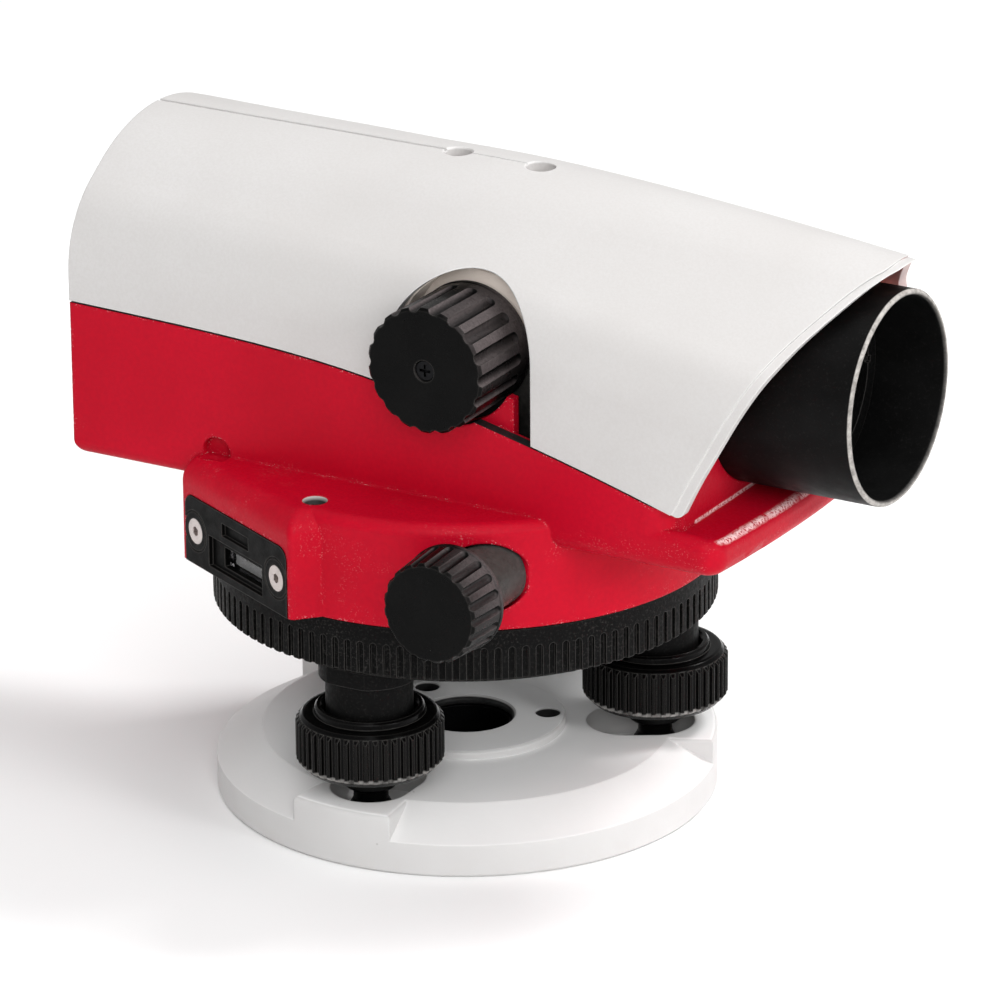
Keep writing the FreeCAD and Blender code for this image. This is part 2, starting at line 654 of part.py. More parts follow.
# ---- cover -------------------------------------------------------------------------------------
def arch_wire(x, inset, low=60.0):
    """Closed cover section at one station: ridge arc, straight slopes, shoulder arcs, upright sides."""
    share = (x - body_rear) / (cover_front_x - body_rear)
    ridge_r, shoulder_r, slope = [rear + (front - rear) * share
                                  for rear, front in (cover_ridge_r, cover_shoulder_r, cover_slope)]
    ridge_r -= inset
    shoulder_r -= inset
    half = cover_half - inset
    peak = cover_peak_at(x) - inset
    sine = math.sin(math.radians(slope))
    cosine = math.cos(math.radians(slope))
    shoulder_y = half - shoulder_r
    slope_start = V(x, ridge_r * sine, peak - ridge_r * (1 - cosine))
    slope_end_y = shoulder_y + shoulder_r * sine
    slope_end = V(x, slope_end_y, slope_start.z - (slope_end_y - slope_start.y) * sine / cosine)
    shoulder_z = slope_end.z - shoulder_r * cosine
    middle = math.radians((90 - slope) / 2)
    bend = V(x, shoulder_y + shoulder_r * math.cos(middle), shoulder_z + shoulder_r * math.sin(middle))
    side = V(x, half, shoulder_z)
    foot = V(x, half, low)

    def mirror(p):
        """Same point on the right side."""
        return V(p.x, -p.y, p.z)

    edges = [
        Part.LineSegment(foot, side),
        Part.Arc(side, bend, slope_end),
        Part.LineSegment(slope_end, slope_start),
        Part.Arc(slope_start, V(x, 0, peak), mirror(slope_start)),
        Part.LineSegment(mirror(slope_start), mirror(slope_end)),
        Part.Arc(mirror(slope_end), mirror(bend), mirror(side)),
        Part.LineSegment(mirror(side), mirror(foot)),
        Part.LineSegment(mirror(foot), foot),
    ]
    return Part.Wire([edge.toShape() for edge in edges])


def arch_prism(inset, x0, x1):
    """Arch of constant section, set in by a wall thickness."""
    return Part.Face(arch_wire(x1, inset)).extrude(V(x0 - x1, 0, 0))


def cover_peak_at(x):
    """Height of the cover's ridge."""
    reach = max(0.0, (x - cover_straight_x) / (cover_front_x - cover_straight_x))
    return cover_peak - (cover_peak - cover_front_peak) * reach ** cover_fall_power


def cover_solid(inset):
    """Filled cover form, set in by a wall thickness."""
    stations = [body_rear - 1, -50, -34, -18, -4, cover_straight_x, 24, 38, 52, 66, 80, cover_front_x + 5]
    return Part.makeLoft([arch_wire(x, inset) for x in stations], True, False)


def cover_outline():
    """Side view of the cover as a cutting prism: lower edge, rounded lower corner and slanted front."""
    lower = cover_edge().toShape()
    corner = lower.valueAt(lower.FirstParameter)
    rear = lower.valueAt(lower.LastParameter)
    front_points = [(62.5, 74.4), (63.2, 75.9), (65.3, 80.1), (67.9, 84.8), (70.6, 89.6), (73.2, 94.3),
                    (75.5, 98.7), (77.4, 102.1), (79.2, 104.8), (81.2, 107.3), (83.3, 109.7), (85.4, 112.0),
                    (87.6, 114.0), (89.0, 115.0), (90.0, 115.7), (90.4, 116.5), (90.5, 118.0)]
    front = Part.BSplineCurve()
    front.interpolate([V(x, 0, z) for x, z in front_points])
    start = V(front_points[0][0], 0, front_points[0][1])
    top = V(front_points[-1][0], 0, front_points[-1][1])
    tip = Part.Arc(start, V(61.76, 0, 73.72), corner)
    high = [rear, V(rear.x, 0, 140), V(top.x, 0, 140), top]
    edges = [lower] + [Part.LineSegment(a, b).toShape() for a, b in zip(high, high[1:])]
    edges += [front.toShape(), tip.toShape()]
    solid = Part.Face(Part.Wire(edges)).extrude(V(0, 80, 0))
    solid.translate(V(0, -40, 0))
    return solid.common(block(body_rear, 100, -50, 50, 60, 140))


screw_holes = {"rear": (-0.7, 2.5), "front": (16.4, 2.7)}
cutout_r = 14.6
cutout_x = 17.4
cutout_z = 95.5
pocket_t = 1.0
pocket_y = -27.1


def knob_arch(radius, y0, y1, low):
    """Prism with a round top and straight sides, round the focus knob."""
    side = block(cutout_x - radius, cutout_x + radius, y0, y1, low, cutout_z)
    return rod(radius, y0, y1, Y_AXIS, (cutout_x, 0, cutout_z)).fuse(side).removeSplitter()


def cover_shell():
    """Pale shell over the telescope, with the knob's cut-out, the top groove and two screw holes."""
    full = cover_solid(0)
    outline = cover_outline()
    behind = outline.copy()
    behind.translate(V(-rim_band, 0, 0))
    band = full.cut(cover_solid(rim_step)).cut(behind).common(block(57.0, 95, -40, 40, 60, 130))
    shell = full.cut(cover_solid(cover_t)).common(outline).cut(band)
    opening = knob_arch(cutout_r, -50, -14, 60)
    groove = block(body_rear - 1, screw_holes["rear"][0], -0.45, 0.45, cover_peak - 0.5, 130)
    thin = block(screw_holes["rear"][0], screw_holes["front"][0], -0.2, 0.2, cover_peak - 0.3, 130)
    cuts = [opening, groove, thin]
    for x, r in screw_holes.values():
        cuts.append(rod(r, 100, 130, centre=(x, 0, 0)))
        cuts.append(turned([(0, cover_peak - 0.35), (r, cover_peak - 0.35), (r + 0.7, cover_peak + 0.35),
                            (0, cover_peak + 0.35)], (x, 0, 0)))
    shell = shell.cut(group(cuts))
    for x, r in screw_holes.values():
        well = tube(r + 1.2, r, 117.4, cover_peak - cover_t + 0.3, centre=(x, 0, 0))
        floor = tube(r + 1.2, 1.3, 116.6, 117.4, centre=(x, 0, 0))
        shell = shell.fuse(well.fuse(floor))
    return shell.removeSplitter()


def cover_screws():
    """Two screws at the bottom of the wells in the cover's top."""
    screws = []
    for x, r in screw_holes.values():
        head = rod(r - 0.35, 117.45, 119.2)
        bar = block(-r * 0.55, r * 0.55, -0.3, 0.3, 118.4, 120)
        screw = head.fuse(rod(1.2, 110.2, 117.6)).cut(fuse(bar, spin(bar, 90))).removeSplitter()
        screw.translate(V(x, 0, 0))
        screws.append(screw)
    return group(screws)


def focus_boss():
    """Pale pocket behind the focus knob: flat floor with the bush seat, and a wall round it."""
    outer = cutout_r + pocket_t - 0.2
    pocket = knob_arch(outer, pocket_y, boss_back_y, 78)
    pocket = pocket.cut(knob_arch(outer - pocket_t, pocket_y - 1, boss_face_y, 70))
    pocket = pocket.common(cover_solid(cover_t + 0.3))
    return pocket.cut(rod(4.0 + seat, -30, -10, Y_AXIS, (focus_x, 0, focus_z))).removeSplitter()


# ---- circle window -----------------------------------------------------------------------------
def window_frame():
    """Black frame with a recess, a ring round each screw, and the shaft that looks down on the circle."""
    body = facet_frame(facet_distance + 0.2, 2.0, 17.5, house_low + 0.05, 61.6, 2.4)
    tunnel = facet_frame(facet_distance - 1.7, 9.6, reading_half + 0.7, 50.5, 55.1, aside=reading_aside)
    body = body.fuse(tunnel)
    cuts = [facet_frame(facet_distance + 1, 1.6, 4.6, 57.2, 59.7),
            facet_frame(facet_distance + 1, 11.0, reading_half, 50.9, 54.7, aside=reading_aside),
            facet_frame(facet_distance + 1, 1.7, 9.3, 50.0, 55.9),
            facet_frame(facet_distance - 6.5, 3.0, 6.0, 50.0, 51.0, aside=reading_aside)]
    return body.cut(group(cuts + window_screw_cutters())).removeSplitter()


def window_axis(side, distance):
    """Centre of a window screw at a distance from the vertical axis."""
    normal = V(math.cos(math.radians(facet_angle)), math.sin(math.radians(facet_angle)), 0)
    along = V(-normal.y, normal.x, 0)
    p = normal * distance + along * side
    return (p.x, p.y, 55.1), normal


def window_screw_cutters():
    """Countersinks for the window screws, each with a shallow ring round it."""
    cutters = []
    for side in (-14.0, 14.0):
        position, normal = window_axis(side, facet_distance + 0.2)
        sink = turned([(0, 1), (2.5, 1), (2.5, -0.35), (1.15, -1.6), (1.15, -5), (0, -5)])
        cutters.append(placed(fuse(sink, tube(4.0, 3.6, -0.25, 1)), position, normal))
    return cutters


def window_screws():
    """Socket screws of the circle window."""
    screws = []
    for side in (-14.0, 14.0):
        position, normal = window_axis(side, facet_distance + 0.15)
        screws.append(placed(hex_screw(2.4, 1.5, 1.0, 7.0, 0.95), position, normal))
    return group(screws)


def window_glass():
    """Glass pane with the reading lens."""
    return facet_frame(facet_distance - 1.9, 1.0, reading_half - 0.03, 50.93, 54.67, aside=reading_aside)


# ---- telescope ---------------------------------------------------------------------------------
def objective_hood():
    """Matte tube round the objective, with a bevelled rim and a lens seat."""
    profile = [(15.2, 56.8), (hood_r, 56.8), (hood_r, hood_front - 0.45), (hood_r - 0.45, hood_front),
               (hood_inner + 0.3, hood_front), (hood_inner, hood_front - 0.6), (hood_inner, 62.0),
               (15.2, 62.0)]
    return turned(profile, (0, 0, axis_z), X_AXIS)


def retaining_ring():
    """Slotted ring that holds the objective lenses."""
    ring = tube(hood_inner - 0.1, 15.3, 72.2, 74.6, X_AXIS, (0, 0, axis_z))
    notches = around(block(73.9, 75, 15.0, 16.2, axis_z - 0.6, axis_z + 0.6), 2, X_AXIS, (0, 0, axis_z))
    return ring.cut(group(notches))


def telescope_tube():
    """Inner tube that guides the focusing lens, slotted for the rack, with lugs for the cover screws."""
    body = tube(tube_r, tube_inner, tube_rear, 56.4, X_AXIS, (0, 0, axis_z))
    lugs = [rod(3.6, axis_z + 15.0, 116.4, centre=(x, 0, 0)) for x, _ in screw_holes.values()]
    body = fuse(body, *lugs)
    cuts = [rod(tube_inner, tube_rear - 1, 60, X_AXIS, (0, 0, axis_z)),
            block(-8.6, 38.6, -20, -8, 87.0, 99.8)]
    cuts += [rod(1.25, 109.5, 120, centre=(x, 0, 0)) for x, _ in screw_holes.values()]
    return body.cut(group(cuts)).removeSplitter()


# ---- focus -------------------------------------------------------------------------------------
def pinion_outline():
    """Tooth outline of the focus pinion."""
    pitch_r = pinion_module * pinion_teeth / 2
    flank = ((2.25, 0.50), (pitch_r - 0.25, 0.46), (pitch_r + 0.1, 0.33), (pitch_r + 0.45, 0.14))
    pts = []
    for i in range(pinion_teeth):
        mid = 90 + 360.0 / pinion_teeth * i
        for radius, half in flank:
            pts.append((radius, mid - math.degrees(half / radius)))
        for radius, half in reversed(flank):
            pts.append((radius, mid + math.degrees(half / radius)))
    return [polar(r, a) for r, a in pts]


def focus_shaft():
    """Pinion shaft of the focus knob."""
    pinion = plate(pinion_outline(), pinion_y[0], pinion_y[1])
    pinion.rotate(V(0, 0, 0), X_AXIS, -90)
    shaft = rod(1.5, -35.6, pinion_y[1], Y_AXIS)
    both = pinion.fuse(shaft).removeSplitter()
    both.translate(V(focus_x, 0, focus_z))
    return both


def focus_bush():
    """Bush of the pinion shaft."""
    return tube(4.0, 1.5 + run, boss_face_y, boss_face_y + 3.8, Y_AXIS, (focus_x, 0, focus_z))


def focus_knob():
    """Large fluted knob."""
    knob = fluted_knob(focus_r - 0.05, focus_r + 0.05, focus_rear_y - focus_face_y, 18, 1.35, 4.2, 0, 0,
                       1.5 + seat)
    knob = knob.cut(turned([(0, 18), (2.0, 18), (2.0, 17.3), (1.0, 16.3), (1.0, 14), (0, 14)]))
    knob = knob.cut(rod(8.8, -1, 1.9))
    knob = knob.fuse(tube(3.4, 1.5 + seat, 0.6, 2.2))
    return placed(knob, (focus_x, focus_rear_y, focus_z), V(0, -1, 0))


def focus_screw():
    """Cross-recess screw in the middle of the focus knob."""
    length = 3.0
    return placed(cross_screw(1.85, 0.85, 0.9, length), (focus_x, focus_face_y + 0.35, focus_z), V(0, -1, 0))


def lens_carriage():
    """Brass sleeve with the focus rack on its right side."""
    sleeve = tube(carriage_r, 12.2, -2.0, 26.0, X_AXIS, (0, 0, axis_z))
    bar = block(2.0, 28.0, -17.4, -12.6, 88.0, 91.6)
    pitch = math.pi * pinion_module
    pitch_z = focus_z - pinion_module * pinion_teeth / 2
    teeth = []
    for i in range(-6, 7):
        mid = focus_x + pitch * (i + 0.5)
        flank = ((-0.60, 91.5), (-0.34, pitch_z), (-0.16, pitch_z + 0.42))
        pts = [V(mid + dx, -17.4, z) for dx, z in flank]
        pts += [V(mid - dx, -17.4, z) for dx, z in reversed(flank)]
        teeth.append(Part.Face(Part.makePolygon(pts + [pts[0]])).extrude(V(0, 4.2, 0)))
    bore = rod(12.2, -3, 30, X_AXIS, (0, 0, axis_z))
    return fuse(sleeve, bar, *teeth).cut(bore).removeSplitter()


# ---- compensator -------------------------------------------------------------------------------
def compensator_frame():
    """Frame that stands on the trough's floor and carries the suspension."""
    posts = [block(comp_x - 9, comp_x + 9, y0, y0 + 3.0, floor_z + 0.02, 106) for y0 in (-15.5, 12.5)]
    top = block(comp_x - 9, comp_x + 9, -15.5, 15.5, 106, 108.5)
    foot = block(comp_x - 9, comp_x + 9, -15.5, 15.5, floor_z + 0.02, 70.5)
    return fuse(top, foot, *posts).removeSplitter()


def suspension_tapes():
    """Four thin steel tapes below the frame's top bar."""
    tapes = []
    for dx in (-4.0, 4.0):
        for dy in (-8.0, 8.0):
            tapes.append(block(comp_x + dx - 0.6, comp_x + dx + 0.6, dy - 0.05, dy + 0.05, 102.2, 105.98))
    return group(tapes)


def pendulum():
    """Swinging carrier of the compensator prism, with a damping plate at the bottom."""
    top = block(comp_x - 6, comp_x + 6, -10.5, 10.5, 100.0, 102.0)
    sides = [block(comp_x - 5, comp_x + 5, y0, y0 + 1.9, 78, 100.5) for y0 in (-10.5, 8.6)]
    base = block(comp_x - 5, comp_x + 5, -10.5, 10.5, 78.0, 80.4)
    damper = block(comp_x - 3, comp_x + 3, -6, 6, 72.0, 78.4)
    return fuse(top, base, damper, *sides).removeSplitter()


def compensator_prism():
    """Glass prism on the line of sight."""
    half_y = 8.55
    pts = [V(comp_x + dx, -half_y, z) for dx, z in ((-6.5, 81.5), (6.5, 81.5), (4.5, 98.5), (-4.5, 98.5))]
    return Part.Face(Part.makePolygon(pts + [pts[0]])).extrude(V(0, 2 * half_y, 0))


# ---- eyepiece ----------------------------------------------------------------------------------
def eyepiece_tube():
    """Tube screwed into the rear wall; its front end holds the reticle."""
    flange_r = eye_tube_r + 1.8
    seat_x = body_rear - 0.05
    profile = [(eye_tube_inner, eye_tube_rear), (eye_tube_r, eye_tube_rear), (eye_tube_r, -66.1),
               (flange_r, -66.1), (flange_r, seat_x), (eye_tube_r, seat_x), (eye_tube_r, -50.0),
               (eye_tube_inner, -50.0)]
    return turned(profile, (0, 0, axis_z), X_AXIS)


def reticle_ring():
    """Brass ring round the reticle glass."""
    return tube(eye_tube_inner - seat, 5.6, -55.0, -52.0, X_AXIS, (0, 0, axis_z))


def reticle_glass():
    """Disc with the cross line and the stadia lines cut into it."""
    disc = rod(5.55, -54.5, -52.8, X_AXIS, (0, 0, axis_z))
    half = 0.06
    lines = [block(-52.95, -52, -6, 6, axis_z - half, axis_z + half),
             block(-52.95, -52, -half, half, axis_z - 6, axis_z + 6)]
    for height in (-2.5, 2.5):
        lines.append(block(-52.95, -52, -1.5, 1.5, axis_z + height - half, axis_z + height + half))
    return disc.cut(group(lines))


def reticle_screw():
    """Adjusting screw below the eyepiece."""
    screw = rod(0.95, -64.2, -56.0, X_AXIS, (0, 0, axis_z - 15.0))
    return screw.cut(rod(0.45, -66, -63.0, X_AXIS, (0, 0, axis_z - 15.0)))


def dioptre_ring():
    """Ribbed ring that focuses the cross line."""
    outline = []
    ribs = 36
    pitch = 360.0 / ribs
    for i in range(ribs):
        outline += [polar(dioptre_r - 0.6, pitch * (i - 0.32)), polar(dioptre_r, pitch * (i - 0.18)),
                    polar(dioptre_r, pitch * (i + 0.18)), polar(dioptre_r - 0.6, pitch * (i + 0.32))]
    grip = placed(plate(outline, 0, 5.0), (-73.0, 0, axis_z), X_AXIS)
    grip = grip.cut(rod(9.3, -90, -60, X_AXIS, (0, 0, axis_z)))
    bore = eye_tube_r + run
    profile = [(bore, eye_tube_rear - 0.3), (6.1, eye_tube_rear - 0.3), (6.1, dioptre_rear),
               (9.4, dioptre_rear), (9.9, -74.0), (9.9, -67.6), (9.5, -66.4), (bore, -66.4)]
    return turned(profile, (0, 0, axis_z), X_AXIS).fuse(grip).removeSplitter()


def eye_lens():
    """Lens held in the dioptre ring."""
    return lens(-73.9, 6.05, 0.9, 0.5, 0.4)


def eyecup():
    """Soft rubber cup."""
    profile = [(6.5, dioptre_rear - 0.05), (9.0, dioptre_rear - 0.05), (9.0, -75.3), (8.0, -75.9),
               (8.6, eye_end_x), (8.0, eye_end_x), (7.2, -75.9), (6.5, -75.6)]
    return turned(profile, (0, 0, axis_z), X_AXIS)


# ---- circular level ----------------------------------------------------------------------------
def level_cup():
    """Metal cup of the circular level."""
    rim_low = shelf_z + 0.05
    return turned([(0, 63.6), (level_r - seat, 63.6), (level_r - seat, rim_low), (level_r + 0.9, rim_low),
                   (level_r + 0.9, 69.6), (6.2, 70.0), (6.2, 64.8), (0, 64.8)], (level_x, level_y, 0))


def level_vial():
    """Glass vial with its domed top; the hollow holds the fluid."""
    centre = (level_x, level_y, 0)
    outer = turned([(0, 64.85), (6.15, 64.85), (6.15, 70.2), (4.4, 71.0), (0, 71.4)], centre)
    return outer.cut(turned([(0, 65.6), (5.3, 65.6), (5.3, 69.7), (3.8, 70.2), (0, 70.5)], centre))


def level_fluid():
    """Fluid with the bubble's hollow at its top."""
    fluid = turned([(0, 65.65), (5.25, 65.65), (5.25, 69.65), (3.75, 70.1), (0, 70.4)], (level_x, level_y, 0))
    return fluid.cut(turned([(0, 69.3), (1.6, 69.5), (2.1, 69.9), (2.1, 71), (0, 71)], (level_x, level_y, 0)))


hood_box = (level_x - 9.5, level_x + 9.0, body_half + 0.02, level_y + 8.4, 74.0, 88.0)


def level_hood():
    """Black hood over the vial, open below and to the rear, where the user looks in."""
    x0, x1, y0, y1, z0, z1 = hood_box
    shell = rounded(block(x0, x1, y0, y1, z0, z1), 2.5, lambda p, e: p.y > y1 - 0.01 and p.z > z0 + 1)
    hollow = block(x0 - 1, x1 - 1.5, y0 + 1.5, y1 - 1.5, z0 - 1, z1 - 1.5)
    legs = [block(x1 - 1.5, x1, y0, y0 + 4.5, shelf_z + 0.02, z0 + 1),
            block(x0, x0 + 1.5, y0, y0 + 1.5, shelf_z + 0.02, z0 + 1)]
    return fuse(shell.cut(hollow), *legs).removeSplitter()


def level_mirror():
    """Mirror at 45 degrees inside the hood."""
    x0, x1, y0, y1, z0, z1 = hood_box
    side = y0 + 1.6
    pts = [V(x0 + 3.2, side, z1 - 1.6), V(x1 - 1.6, side, z0 + 1.0), V(x1 - 1.6, side, z0 + 2.6),
           V(x0 + 4.6, side, z1 - 1.6)]
    return Part.Face(Part.makePolygon(pts + [pts[0]])).extrude(V(0, y1 - y0 - 3.2, 0))


def housing_screw():
    """Sunk screw in the housing's shelf."""
    return placed(cross_screw(1.75, 1.0, 1.0, 3.4), (*sunk_screw, shelf_z - sink_depth - 0.05), Z_AXIS)


def head_bearing():
    """Bronze bush between the head and the spindle."""
    return tube(10.5, spindle_r + run, 60.3, 70.0)


# ---- write every node --------------------------------------------------------------------------
save("base_plate", base_plate())
save("tripod_bush", tripod_bush())
save("spring_plate", spring_plate())
save("spring_screws", spring_screws())
knob_shape = foot_knob()
stem_shape = foot_stem()
for foot_name, (foot_x, foot_y) in foot_xy.items():
    for part_name, part_shape in (("foot_knob_", knob_shape), ("foot_stem_", stem_shape)):
        moved = part_shape.copy()
        moved.translate(V(foot_x, foot_y, 0))
        save(part_name + foot_name, moved)
save("tribrach", tribrach())
save("foot_sleeves", foot_sleeves())
save("vertical_spindle", vertical_spindle())
save("spindle_nut", spindle_nut())
save("clutch_spring", clutch_spring())
save("circle_ring", circle_ring())
save("graduated_circle", graduated_circle())
save("worm_wheel", worm_wheel())
save("worm_shaft", worm_shaft())
save("drive_bushes", drive_bushes())
save("drive_knob_right", drive_knob(-1))
save("drive_knob_left", drive_knob(1))
save("body_casting", body_casting())
save("head_bearing", head_bearing())
save("cover_shell", cover_shell())
save("cover_screws", cover_screws())
save("focus_boss", focus_boss())
save("window_frame", window_frame())
save("window_glass", window_glass())
save("window_screws", window_screws())
save("housing_screw", housing_screw())
save("objective_hood", objective_hood())
save("crown_lens", lens(64.6, hood_inner - 0.1, 3.0, 1.2, 1.6))
save("flint_lens", lens(69.8, hood_inner - 0.1, 4.0, 0.6, -1.0))
save("retaining_ring", retaining_ring())
save("telescope_tube", telescope_tube())
save("focus_shaft", focus_shaft())
save("focus_bush", focus_bush())
save("focus_knob", focus_knob())
save("focus_screw", focus_screw())
save("lens_carriage", lens_carriage())
save("focusing_lens", lens(20.0, 12.15, 4.0, -1.0, -1.0))
save("compensator_frame", compensator_frame())
save("suspension_tapes", suspension_tapes())
save("pendulum", pendulum())
save("compensator_prism", compensator_prism())
save("eyepiece_tube", eyepiece_tube())
save("reticle_ring", reticle_ring())
save("reticle_glass", reticle_glass())
save("reticle_screw", reticle_screw())
save("dioptre_ring", dioptre_ring())
save("eye_lens", eye_lens())
save("eyecup", eyecup())
save("level_cup", level_cup())
save("level_vial", level_vial())
save("level_fluid", level_fluid())
save("level_hood", level_hood())
save("level_mirror", level_mirror())
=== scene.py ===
import math

import bpy
from mathutils import Matrix, Vector


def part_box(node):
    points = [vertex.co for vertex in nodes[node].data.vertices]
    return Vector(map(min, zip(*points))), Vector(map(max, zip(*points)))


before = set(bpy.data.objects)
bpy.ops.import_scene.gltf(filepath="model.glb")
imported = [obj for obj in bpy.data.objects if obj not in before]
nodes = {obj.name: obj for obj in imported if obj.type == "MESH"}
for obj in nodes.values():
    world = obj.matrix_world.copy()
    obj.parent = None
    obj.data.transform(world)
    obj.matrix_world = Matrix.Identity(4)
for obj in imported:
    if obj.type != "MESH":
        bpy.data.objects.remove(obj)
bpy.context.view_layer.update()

# Looks of the automatic level. Metres; +Z up, +X out of the objective, +Y left of the line of sight.

MM = 0.001


# ---- shader helpers ----------------------------------------------------------------------------
class Look:
    """One material: short calls that add shader nodes and join them."""

    def __init__(self, name, **constants):
        self.material = bpy.data.materials.new(name)
        self.material.use_nodes = True
        self.tree = self.material.node_tree
        self.shader = self.tree.nodes["Principled BSDF"]
        for socket, value in constants.items():
            self.shader.inputs[socket.replace("_", " ")].default_value = value
        coordinates = self.add("ShaderNodeTexCoord")
        self.place = coordinates.outputs["Object"]
        self.outward = coordinates.outputs["Normal"]

    def add(self, kind, **settings):
        """New node with its settings."""
        node = self.tree.nodes.new(kind)
        for key, value in settings.items():
            setattr(node, key, value)
        return node

    def feed(self, socket, value):
        """Link an output, or set a constant."""
        if isinstance(value, bpy.types.NodeSocket):
            self.tree.links.new(value, socket)
        else:
            socket.default_value = value

    def stretched(self, scale):
        """Object coordinates scaled per axis."""
        node = self.add("ShaderNodeMapping")
        self.feed(node.inputs["Vector"], self.place)
        node.inputs["Scale"].default_value = scale
        return node.outputs["Vector"]

    def noise(self, size, detail=3.0, rough=0.55, vector=None):
        """Noise whose blotches are about size metres across."""
        node = self.add("ShaderNodeTexNoise")
        self.feed(node.inputs["Vector"], vector or self.place)
        node.inputs["Scale"].default_value = 1.0 / size
        node.inputs["Detail"].default_value = detail
        node.inputs["Roughness"].default_value = rough
        return node.outputs["Fac"]

    def cells(self, size, vector=None):
        """Distance to the nearest of scattered points about size metres apart."""
        node = self.add("ShaderNodeTexVoronoi")
        self.feed(node.inputs["Vector"], vector or self.place)
        node.inputs["Scale"].default_value = 1.0 / size
        return node.outputs["Distance"]

    def span(self, value, low, high, start=0.0, end=1.0):
        """Value from low to high, mapped and clamped to start and end."""
        node = self.add("ShaderNodeMapRange")
        self.feed(node.inputs["Value"], value)
        for socket, number in zip(("From Min", "From Max", "To Min", "To Max"), (low, high, start, end)):
            node.inputs[socket].default_value = number
        return node.outputs["Result"]

    def math(self, operation, a, b=0.0):
        """Maths on two values."""
        node = self.add("ShaderNodeMath", operation=operation)
        self.feed(node.inputs[0], a)
        self.feed(node.inputs[1], b)
        return node.outputs["Value"]

    def blend(self, share, a, b):
        """Colour between a and b."""
        node = self.add("ShaderNodeMix", data_type="RGBA")
        self.feed(node.inputs["Factor"], share)
        self.feed(node.inputs["A"], a)
        self.feed(node.inputs["B"], b)
        return node.outputs["Result"]

    def all_of(self, *masks):
        """Product of masks."""
        product = masks[0]
        for mask in masks[1:]:
            product = self.math("MULTIPLY", product, mask)
        return product

    def any_of(self, *masks):
        """Greatest of masks."""
        greatest = masks[0]
        for mask in masks[1:]:
            greatest = self.math("MAXIMUM", greatest, mask)
        return greatest

    def mottled(self, size, a, b, detail=3.0):
        """Colour that drifts between a and b in blotches."""
        return self.blend(self.span(self.noise(size, detail), 0.3, 0.7), a, b)

    def patchy(self, size, low, high, detail=4.0):
        """Roughness that drifts between low and high in blotches."""
        self.roughness(self.span(self.noise(size, detail), 0.3, 0.7, low, high))

    def along(self, name, low, high, start=0.0, end=1.0):
        """Coordinate in millimetres, mapped and clamped from low to high."""
        return self.span(self.axis(name), low * MM, high * MM, start, end)

    def aside(self, name, low, high):
        """Same, for the distance to either side of the middle."""
        return self.span(self.math("ABSOLUTE", self.axis(name)), low * MM, high * MM)

    def axis(self, name):
        """One object coordinate."""
        node = self.add("ShaderNodeSeparateXYZ")
        self.feed(node.inputs["Vector"], self.place)
        return node.outputs[name]

    def within(self, centre, low, high, start=0.0, end=1.0):
        """Distance in millimetres from a line that stands at two coordinates, mapped and clamped."""
        sides = [self.math("POWER", self.math("ABSOLUTE", self.math("ADD", self.axis(name), -at)), 2.0)
                 for name, at in centre.items()]
        return self.span(self.math("SQRT", self.math("ADD", *sides)), low * MM, high * MM, start, end)

    def soft_normal(self, radius):
        """Surface normal with edges rounded to a radius."""
        node = self.add("ShaderNodeBevel", samples=6)
        node.inputs["Radius"].default_value = radius
        return node.outputs["Normal"]

    def edges(self, radius, gain=4.0):
        """1 on worn edges, 0 on flat stretches."""
        product = self.add("ShaderNodeVectorMath", operation="DOT_PRODUCT")
        self.feed(product.inputs[0], self.soft_normal(radius))
        self.feed(product.inputs[1], self.add("ShaderNodeNewGeometry").outputs["Normal"])
        return self.span(product.outputs["Value"], 1.0, 1.0 - 1.0 / gain)

    def facing(self, way, low, high):
        """1 where the surface faces a direction of its own piece, fading to 0."""
        product = self.add("ShaderNodeVectorMath", operation="DOT_PRODUCT")
        self.feed(product.inputs[0], self.outward)
        product.inputs[1].default_value = way
        return self.span(product.outputs["Value"], low, high)

    def relief(self, height, depth, strength=1.0, normal=None):
        """Bump from a height; depth in metres."""
        node = self.add("ShaderNodeBump")
        self.feed(node.inputs["Height"], height)
        node.inputs["Strength"].default_value = strength
        node.inputs["Distance"].default_value = depth
        if normal is not None:
            self.feed(node.inputs["Normal"], normal)
        return node.outputs["Normal"]

    def colour(self, value):
        """Base colour of the shader."""
        self.feed(self.shader.inputs["Base Color"], value)

    def base_colour(self):
        """What feeds the base colour so far."""
        return self.shader.inputs["Base Color"].links[0].from_socket

    def roughness(self, value):
        """Roughness of the shader."""
        self.feed(self.shader.inputs["Roughness"], value)

    def normal(self, value):
        """Normal of the shader."""
        self.feed(self.shader.inputs["Normal"], value)


def grey(value, warmth=0.0):
    """Linear grey with a slight warm or cool shift."""
    return (value * (1 + warmth), value, value * (1 - warmth), 1.0)


# ---- places on the object, in millimetres --------------------------------------------------------
hood_axis_z = 90.5
hood_rim_radii = (18.45, 18.95)
knob_hub_y = (49.35, 49.2)
pocket_dark_z = (98.6, 97.2)
stem_painted_shade_z = (13.15, 13.0)
cover_inner_x = (58, 64)
base_hole_radius = (18.1, 17.9)
base_hole_bottom = (3.8, 4.1)
base_hole_top = (12.5, 12.3)
housing_top_z = (71, 68)
lip_x = (66.5, 67.5)
seam_x = ((61.05, 61.15), (61.65, 61.45))
seam_z = ((69.75, 69.9), (70.95, 70.75))
seam_side = (25.2, 24.8)
step_band_x = (62.3, 61.8)
step_band_z = (72.9, 73.0)
step_band_side = (29.1, 29.3)
sink_centre = {"X": -5.9 * MM, "Y": -42.9 * MM}
sink_radius = (2.40, 2.30)
sink_top_z = (68.30, 68.20)
sink_shade_z = (67.5, 68.1)


